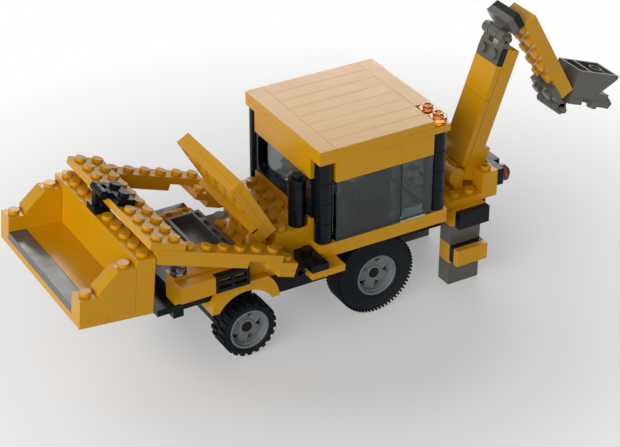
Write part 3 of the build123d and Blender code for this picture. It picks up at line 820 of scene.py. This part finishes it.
@dataclass
class Hood(Assembly):
    """Open hood of two layers, with the deeper row at its hinge."""

    degrees: float = 60.0
    own: tuple[float, float] = (-20.3, 47.4)
    lugs_y: tuple[float, float] = (-18.0, -1.0)

    def build(self) -> None:
        """Builds the hood, drawn closed."""
        forge = Forge(self.layout.tilted("hood_open", self.degrees, self.own))
        front, rear, base, middle, top = -55.7, -24.0, 48.0, 51.2, 54.4
        forge.block((front, -24, middle + SEAM), (rear, 24, top))
        forge.tray((front, -24, base), (rear - PITCH, 24, middle - SEAM), 1.5, 2.0)
        forge.block((rear - PITCH, -24, base), (rear, 24, middle - SEAM))
        for x in (-48, -40):
            for y in range(-16, 17, 8):
                forge.ring((x, y, base + 2.0), (x, y, base + 0.02), TUBE_R, TUBE_BORE_R)
        forge.block((-31.6, -24, 45.1), (-30.4, 24, base - 0.02))
        for y0, y1 in ((-24, -22.9), (22.9, 24)):
            forge.block((-31.5, y0, 45.1), (rear, y1, base - 0.02))
        px, pz = self.own
        for y in self.lugs_y:
            forge.block((rear - 1.0, y, base), (px, y + 6, pz + 3.0))
            forge.block((px - 1.5, y, pz), (px, y + 6, pz + 3.0))
            forge.rod((px, y, pz), (px, y + 6, pz), 1.5)
        forge.dress("hood", YELLOW, "hood")


@dataclass
class Digger(Assembly):
    """Boom, stick and digging bucket behind the cab."""

    near: float = -16.0
    far: float = 0.0
    knuckle: float = 2.7
    pin: float = 1.3

    @property
    def middle(self) -> float:
        """Middle of the digger's width."""
        return (self.near + self.far) / 2

    @property
    def fingers(self) -> tuple[tuple[float, float], ...]:
        """Ends of the two outer knuckles of a hinge."""
        return (self.middle - 7.6, self.middle - 3.3), (self.middle + 3.3, self.middle + 7.6)

    def _fork(self, forge: Forge, x: float, z: float, root: tuple[Point, Point]) -> None:
        """Two outer knuckles of a hinge, their roots and the pin through them.

        Args:
            forge: the piece.
            x: place of the pin.
            z: place of the pin.
            root: lowest and highest (x, z) of the roots.
        """
        (x0, z0), (x1, z1) = root
        for y0, y1 in self.fingers:
            forge.rod((x, y0, z), (x, y1, z), self.knuckle)
            forge.block((x0, y0, z0), (x1, y1, z1))
        forge.rod((x, self.middle - 10, z), (x, self.middle + 7.6, z), self.pin, 0.15)

    def build(self) -> None:
        """Builds boom, stick and bucket."""
        self._boom()
        self._stick()
        self._bucket()

    def _boom(self) -> None:
        """Boom of bricks, its smooth front and its upper hinge."""
        near, far = self.near, self.far
        place = self.layout.tilted("boom_swing", 19.7, (0.0, 0.0))
        forge = Forge(place)
        forge.prism(((3.23, 4.35), (9.6, 4.35), (9.6, 61.2), (3.23, 61.2)), near, far)
        forge.prism(((4.4, -1.0), (9.6, -1.0), (9.6, 4.3), (3.3, 4.3), (3.3, 2.8)), near, far)
        forge.block((9.63, near, 2.0), (12.8, far, 15.2))
        forge.rod((0, near + 3.85, 0), (0, far - 3.85, 0), 3.8)
        forge.block((-1, near + 3.85, -2.5), (3.4, far - 3.85, 4.8))
        forge.dress("boom", YELLOW, "boom")
        forge = Forge(place)
        forge.prism(((2.8, 5.2), (2.8, 37.13), (0, 37.13), (0, 14), (0.3, 9.5), (1.2, 5.2)), near, far)
        forge.block((0, near, 37.24), (2.8, far, 53.15))
        forge.block((2.7, near + 0.35, 5.5), (3.2, far - 0.35, 53.0))
        forge.dress("boom", YELLOW, "boom_tiles")
        forge = Forge(place)
        forge.block((0, near + 0.4, 53.22), (3.2, far, 61.2))
        for y in (self.middle - 4, self.middle + 4):
            forge.stud_x(0, y, 57.2, -1.0)
        self._fork(forge, 0.4, 66.2, ((0.1, 60.8), (3.1, 66.2)))
        forge.finish("boom_hinge_dressed", "boom", DARK_GREY, ["boom_hinge_plate"])
        forge = Forge(place)
        forge.block((0.1, near, 53.22), (3.2, near + 0.39, 61.2))
        forge.finish("boom_hinge_end", "boom", BLACK)

    def _stick(self) -> None:
        """Stick with its studs and the hinges at both ends."""
        near, far, middle = self.near, self.far, self.middle
        place = self.layout.tilted("stick_swing", 150.4, (0.0, 0.0))
        face = -9.9     # x of the side that carries the studs
        forge = Forge(place)
        forge.block((face - 6.4, near, 0.6), (face, far, 48.6))
        for z in (4.6, 12.6, 20.6, 28.6, 36.6):
            forge.stud_x(face, middle - 4, z)
            if z > 5:
                forge.stud_x(face, middle + 4, z)
        forge.dress("stick", YELLOW, "stick")
        forge = Forge(place)
        forge.block((face, near, -6.7), (face + 3.2, far, 0.57))
        forge.block((face + 0.03, middle, 0.5), (face + 3.2, far, 8.6))
        forge.finish("stick_link_dressed", "stick", BLACK, ["stick_link_plate"])
        forge = Forge(place)
        forge.block((face + 3.23, near, -6.7), (face + 6.4, far, 1.3))
        forge.block((face + 6.2, middle - 3, -2.4), (0, middle + 3, 2.4))
        forge.rod((0, middle - 3, 0), (0, middle + 3, 0), self.knuckle)
        forge.block((face + 0.03, near, 40.6), (face + 3.2, far, 48.6))
        for y in (middle - 4, middle + 4):
            forge.stud_x(face + 3.2, y, 44.6)
        self._fork(forge, -7.4, 53.4, ((face + 0.1, 48.3), (face + 3.1, 53.4)))
        forge.dress("stick", DARK_GREY, "stick_hinges")

    def _bucket(self) -> None:
        """Digging bucket, its hinge plate and its teeth."""
        near, far, middle = self.near, self.far, self.middle
        own = (-2.4, -18.9)
        place = self.layout.tilted("digger_curl", 20.0, own)
        turn = place.to_3x3().normalized()
        seam = (place @ Vector((7.6, 0.0, 0.0)), turn @ Vector((1.0, 0.0, 0.0)))
        soften("digger_bucket", DARK_GREY, [seam])
        low, plate, under = -9.6, -12.8, -16.0
        forge = Forge(place)
        forge.block((0.1, near, under), (8, far, plate - 0.03))
        forge.block((own[0], middle - 3, -18.5), (4, middle + 3, under + 0.1))
        forge.rod((own[0], middle - 3, own[1]), (own[0], middle + 3, own[1]), self.knuckle)
        forge.finish("digger_hinge_dressed", "digger_bucket", DARK_GREY, ["digger_hinge_plate"])
        forge = Forge(place)
        forge.block((14.3, near, plate + 0.03), (22.4, far, low - 0.03))
        forge.block((14.3, near, under), (22.4, far, plate - 0.03))
        tooth = ((22.3, plate), (23.4, -11.2), (26.2, -13.6), (24.6, -16.4), (22.3, under))
        for y in (near, middle - PLATE / 2, far - PLATE):
            forge.prism(tooth, y, y + PLATE)
        for y in (middle - 4, middle + 4):
            forge.stud(18.4, y, under, -1.0)
        forge.dress("digger_bucket", DARK_GREY, "digger_teeth")


@dataclass(frozen=True)
class WheelSize:
    """Sizes of one axle's wheels, in millimetres."""

    end: str
    radius: float
    rim: float
    half_width: float
    tread: float                            # depth of the lugs
    lugs: int                               # in a row around the tyre
    rows: tuple[tuple[float, float], ...]   # ends of each row across the tyre
    lug_width: float
    shoulder: float                         # how far the tyre's edge is rounded


SOFTENED = (  # nodes whose CAD shape is right: only their edges are rounded
    ("chassis_frame", BLACK), ("nose_plate", BLACK), ("engine_tray", TRAY_GREY), ("axles", BLACK),
    ("grille_tiles", BLACK), ("head_lamps", SMOKE_CLEAR), ("front_mudguards", YELLOW),
    ("hood_hinge_pins", YELLOW), ("cab_floor", BLACK), ("cab_panels", GLASS), ("window_frames", BLACK),
    ("cab_glass", GLASS), ("seat", DARK_GREY), ("steering_column", BLACK), ("arm_hinge_plates", BLACK),
    ("tail_plate", BLACK), ("tail_tile", BLACK), ("tail_lamps", RED_CLEAR), ("boom_base", YELLOW),
    ("bucket_hinge_plate", BLACK), ("bucket_hinge_post", BLACK),
)


@dataclass
class Wheels(Assembly):
    """Rims and tyres of the four wheels, each drawn about its own centre with +y outwards."""

    sizes: tuple[WheelSize, ...] = (
        WheelSize("front", 12.85, 9.95, 6.0, 0.9, 22, ((-5.5, -0.5), (0.5, 5.5)), 1.9, 0.6),
        WheelSize("rear", 19.0, 10.5, 7.0, 0.4, 66, ((-5.6, 5.6),), 0.85, 1.5),
    )
    hub: float = 3.5
    bore: float = 2.45
    spokes: int = 5
    spread_deg: float = 15.0    # half the width of a hole in the web
    face: float = 3.9           # how deep the web lies in the rim
    web: float = 1.8            # thickness of the web
    rib: float = 0.4
    lip: float = 0.7            # how thick the tyre's edge shows around the rim

    def build(self) -> None:
        """Builds rim and tyre of every wheel."""
        for size in self.sizes:
            for side, turn in (("left", 180.0), ("right", 0.0)):
                centre = self.layout.hinges[f"{size.end}_{side}_wheel_spin"]
                place = (Matrix.Translation(centre) @ Matrix.Rotation(math.radians(turn), 4, "Z")
                         @ Matrix.Scale(MM, 4))
                name = f"{size.end}_{side}"
                self._rim(size, place, name)
                self._tyre(size, place, name)

    def _rim(self, size: WheelSize, place: Matrix, name: str) -> None:
        """Barrel, hub and pierced web, with a black disc behind the web: painted shade that darkens its
        holes.

        Args:
            size: sizes of the wheel.
            place: takes the wheel's own millimetres to the frame.
            name: of the wheel.
        """
        forge = Forge(place)
        out, rim, hub, bore = size.half_width, size.rim, self.hub, self.bore
        edge, level = rim - self.lip, out - self.face
        forge.lathe(ORIGIN, AXLE, (
            (rim - 1.6, -out), (rim - 0.05, -out), (rim - 0.05, out - 2.0), (edge, out - 1.4),
            (edge, out - 0.7), (edge - 0.2, out - 0.5), (edge - 0.8, out - 0.5), (edge - 1.0, out - 0.8),
            (edge - 1.1, out - 2.2), (edge - 1.5, out - 2.4), (edge - 1.7, out - 5.6),
            (rim - 1.6, out - 5.8)), 56)
        forge.lathe(ORIGIN, AXLE, (
            (bore, 0.5 - out), (hub, 0.5 - out), (hub, level + 0.5), (hub - 0.2, level + 0.7),
            (bore + 0.1, level + 0.7), (bore, level + 0.6)), 36)
        self._web(forge, edge - 1.55, level)
        forge.dress(f"{name}_wheel", RIM_GREY, f"{name}_rim")
        # painted shade: a black disc just behind the web, so that the web's holes look dark
        forge = Forge(place)
        top = level - self.web - 0.1
        forge.lathe(ORIGIN, AXLE, ((hub - 0.1, top - 0.6), (edge - 1.6, top - 0.6),
                                   (edge - 1.6, top), (hub - 0.1, top)), 40)
        forge.finish(f"{name}_rim_back", f"{name}_wheel", BLACK)

    def _spot(self, radius: float, degrees: float, level: float) -> Vector:
        """Point on the web, by its radius and its angle from the middle of a sector."""
        angle = math.radians(degrees) + math.pi / self.spokes
        return Vector((math.cos(angle) * radius, level, math.sin(angle) * radius))

    def _web(self, forge: Forge, reach: float, level: float) -> None:
        """Web between hub and barrel: in each sector a three-cornered hole and two ribs beside it.

        Args:
            forge: the rim.
            reach: outer radius of the web.
            level: height of its outer face along y.
        """
        half, wide, inner = 180.0 / self.spokes, self.spread_deg, self.hub - 0.3
        hole_in, hole_out = (inner + (reach - inner) * share for share in (0.26, 0.88))
        mesh = forge.mesh
        before = set(mesh.verts)
        outlines = [[(hole_out, -wide), (hole_out, wide), (reach, wide), (reach, 0), (reach, -wide)]]
        for sign in (-1, 1):
            outlines.insert(0, [
                (inner, 0), (inner, sign * half / 2), (inner, sign * half), (reach, sign * half),
                (reach, sign * (half + wide) / 2), (reach, sign * wide), (hole_out, sign * wide),
                (hole_in, 0)])
        for outline in outlines:
            mesh.faces.new([mesh.verts.new(self._spot(*corner, level)) for corner in outline])
        forge.around(self.spokes, before)
        bmesh.ops.remove_doubles(mesh, verts=forge.since(before), dist=0.001)
        faces = forge.face_out(forge.since(before))
        forge.extrude(faces, -self.web)
        forge.face_out(forge.since(before))
        for sign in (1, -1):
            before = set(mesh.verts)
            forge.rod(self._spot(inner, sign * 8.0, level - 0.1),
                      self._spot(reach, sign * (wide + 4.0), level - 0.1), self.rib, 0.0, 10)
            forge.around(self.spokes, before)

    def _tyre(self, size: WheelSize, place: Matrix, name: str) -> None:
        """Carcass with rounded shoulders and the tread's lugs.

        Args:
            size: sizes of the wheel.
            place: takes the wheel's own millimetres to the frame.
            name: of the wheel.
        """
        forge = Forge(place)
        out, rim, crown, shoulder = size.half_width, size.rim, size.radius - size.tread, size.shoulder
        half = ((rim - self.lip + 0.1, out - 1.3), (rim - self.lip + 0.1, out - 0.6), (rim - 0.1, out - 0.1),
                (rim + 1.2, out), (rim + 1.6, out - 0.25),
                (crown - shoulder * 2.2, out - 0.3 - shoulder * 0.35),
                (crown - shoulder * 0.5, out - 0.5 - shoulder * 0.8), (crown, out - 1.2 - shoulder))
        forge.lathe(ORIGIN, AXLE, half + tuple((radius, -height) for radius, height in reversed(half)), 72)
        for k, (y0, y1) in enumerate(size.rows):
            before = set(forge.mesh.verts)
            forge.block((crown - 0.5, y0, -size.lug_width / 2), (size.radius - 0.02, y1, size.lug_width / 2),
                        0.12)
            bmesh.ops.rotate(forge.mesh, verts=forge.since(before), cent=ORIGIN,
                             matrix=Matrix.Rotation(math.pi * k / size.lugs, 3, "Y"))
            forge.around(size.lugs, before)
        forge.dress(f"{name}_wheel", RUBBER, f"{name}_tyre")


# ---- studio
@dataclass(frozen=True)
class Lamp:
    """One softbox, turned to the toy."""

    name: str
    place: Point
    size: tuple[float, float]
    radiance: float

    def build(self) -> None:
        """Builds the lamp."""
        light = bpy.data.lights.new(self.name, "AREA")
        light.shape = "RECTANGLE"
        light.size, light.size_y = self.size
        light.energy = self.radiance * math.pi * self.size[0] * self.size[1]
        lamp = put(self.name, light)
        lamp.location = self.place
        lamp.rotation_mode = "QUATERNION"
        toy = Vector((0.0, 0.0, 0.04))
        lamp.rotation_quaternion = (toy - Vector(self.place)).to_track_quat("-Z", "Y")


@dataclass
class Studio:
    """Camera, floor, world and lamps, in metres and degrees."""

    azimuth: float = -30.2
    elevation: float = 31.16
    roll: float = 0.25
    distance: float = 0.77313
    aim: Point = (-0.037625, -0.042707, 0.066865)
    lens: float = 110.505
    ambient: float = 0.18
    floor_half: float = 3.0
    floor_colour: float = 0.80
    fade: tuple[float, float] = (0.08, 0.26)    # where the floor starts to turn white and where it is
    near_glow: float = 0.28                     # share of white inside that
    lamps: tuple[Lamp, ...] = (
        Lamp("back softbox", (0.44, 0.95, 0.525), (1.00, 0.29), 5.2),
        Lamp("upper softbox", (0.36, 0.78, 0.73), (0.90, 0.30), 0.9),
        Lamp("front softbox", (-2.14, -1.06, 1.02), (3.00, 1.90), 3.6),
    )

    def build(self) -> None:
        """Builds the studio."""
        self._camera()
        self._floor()
        self._world()
        for lamp in self.lamps:
            lamp.build()

    def _camera(self) -> None:
        """Camera at the three-quarter view from the front left."""
        turn, rise = math.radians(self.azimuth), math.radians(self.elevation)
        back = Vector((math.sin(turn) * math.cos(rise), -math.cos(turn) * math.cos(rise), math.sin(rise)))
        data = bpy.data.cameras.new("camera")
        data.lens = self.lens
        data.sensor_width = 36.0
        data.clip_start, data.clip_end = 0.05, 20.0
        camera = put("camera", data)
        camera.location = Vector(self.aim) + back * self.distance
        camera.rotation_mode = "QUATERNION"
        level = (-back).to_track_quat("-Z", "Y")
        camera.rotation_quaternion = level @ Matrix.Rotation(math.radians(self.roll), 3, "Z").to_quaternion()
        bpy.context.scene.camera = camera

    @staticmethod
    def _shown(tree: NodeTree) -> Node:
        """Mask of the rays that are to meet the white background.

        Args:
            tree: the material's or the world's node tree.

        Returns:
            A node whose value is 1 for camera, glossy and transmission rays, else 0.
        """
        path = add_node(tree, "LightPath")
        either = add_node(tree, "Math", operation="MAXIMUM")
        mask = add_node(tree, "Math", operation="MAXIMUM")
        wire(path, "Is Camera Ray", either, 0)
        wire(path, "Is Glossy Ray", either, 1)
        wire(either, "Value", mask, 0)
        wire(path, "Is Transmission Ray", mask, 1)
        return mask

    def _floor(self) -> None:
        """Pale floor that fades to white away from the toy."""
        mesh = bmesh.new()
        bmesh.ops.create_grid(mesh, x_segments=1, y_segments=1, size=self.floor_half)
        data = bpy.data.meshes.new("floor")
        mesh.to_mesh(data)
        mesh.free()
        floor = put("floor", data)
        floor.location.z = -0.2 * MM
        made = bpy.data.materials.new("pale_floor")
        made.use_nodes = True
        tree = made.node_tree
        tree.nodes.clear()
        out = add_node(tree, "OutputMaterial")
        paint = add_node(tree, "BsdfDiffuse", {"Color": (*(self.floor_colour,) * 3, 1.0)})
        glow = add_node(tree, "Emission", {"Strength": 1.0})
        place = add_node(tree, "TexCoord")
        far = add_node(tree, "VectorMath", operation="LENGTH")
        fade = add_node(tree, "MapRange", {"From Min": self.fade[0], "From Max": self.fade[1],
                                           "To Min": self.near_glow})
        gate = add_node(tree, "Math", operation="MULTIPLY")
        mix = add_node(tree, "MixShader")
        wire(place, "Object", far, 0)
        wire(far, "Value", fade, "Value")
        wire(self._shown(tree), "Value", gate, 0)
        wire(fade, "Result", gate, 1)
        wire(gate, "Value", mix, "Fac")
        wire(paint, "BSDF", mix, 1)
        wire(glow, "Emission", mix, 2)
        wire(mix, "Shader", out, "Surface")
        data.materials.append(made)

    def _world(self) -> None:
        """White surroundings for the rays that show them, dimmer light for the rest."""
        world = bpy.data.worlds.new("studio")
        bpy.context.scene.world = world
        world.use_nodes = True
        tree = world.node_tree
        tree.nodes.clear()
        out = add_node(tree, "OutputWorld")
        lit = add_node(tree, "Background", {"Strength": self.ambient, "Color": (1.0, 0.98, 0.95, 1.0)})
        shown = add_node(tree, "Background", {"Strength": 1.0})
        mix = add_node(tree, "MixShader")
        wire(self._shown(tree), "Value", mix, "Fac")
        wire(lit, "Background", mix, 1)
        wire(shown, "Background", mix, 2)
        wire(mix, "Shader", out, "Surface")
        bpy.context.scene.view_settings.view_transform = "Standard"


def main() -> None:
    """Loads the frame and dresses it."""
    logging.basicConfig(level=logging.INFO, format="%(name)s %(message)s")
    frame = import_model()
    layout = Layout.read(frame)
    for part in (FrontBody, Hood, Cab, Loader, RearBody, Digger, Wheels):
        part(layout).build()
    for node, finish in SOFTENED:
        soften(node, finish)
    Studio().build()


if __name__ == "__main__":
    main()
